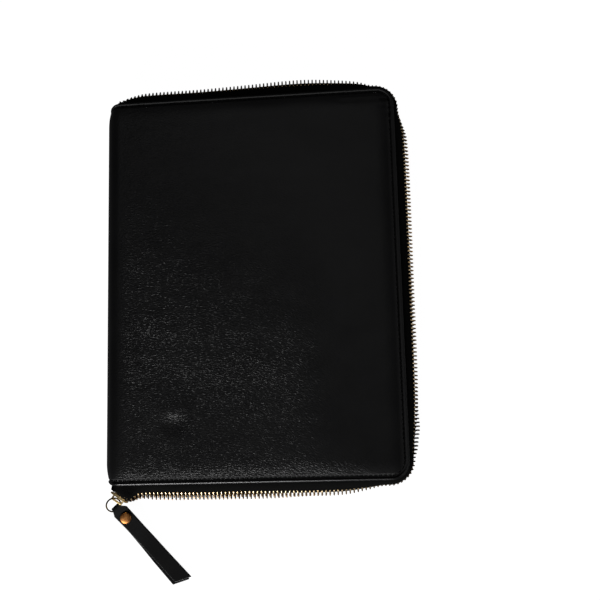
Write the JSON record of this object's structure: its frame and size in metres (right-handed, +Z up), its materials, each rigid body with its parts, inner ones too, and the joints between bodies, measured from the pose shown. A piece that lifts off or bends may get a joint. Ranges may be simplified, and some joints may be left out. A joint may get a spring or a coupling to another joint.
{
  "type": "zippered tablet sleeve",
  "caption": "Padded leather sleeve wrapped round a soft spine, zipped along three sides with a metal-toothed zip, slider and leather pull, lying open to take a tablet.",
  "frame": {"origin": "centre of the flat underside of the back cover, on the surface it lies on", "axes": "+X from the spine to the long open side, +Y along the spine to the head, +Z up out of the front cover"},
  "size_m": [0.2035, 0.3311, 0.0256],
  "materials": {
    "leather": "black fine-pebbled leather, satin",
    "tape": "black woven zip tape",
    "brass": "polished pale brass",
    "strap_leather": "black smooth leather, cut edges",
    "copper": "copper-brown domed metal"
  },
  "bodies": {
    "root": {"shell": "leather", "zip_tape_front": "tape", "zip_tape_back": "tape", "zip_teeth_front": "brass", "zip_teeth_back": "brass", "zip_slider": "brass", "pull_ring": "brass", "pull_strap": "strap_leather", "pull_rivet": "copper"}
  },
  "joints": []
}
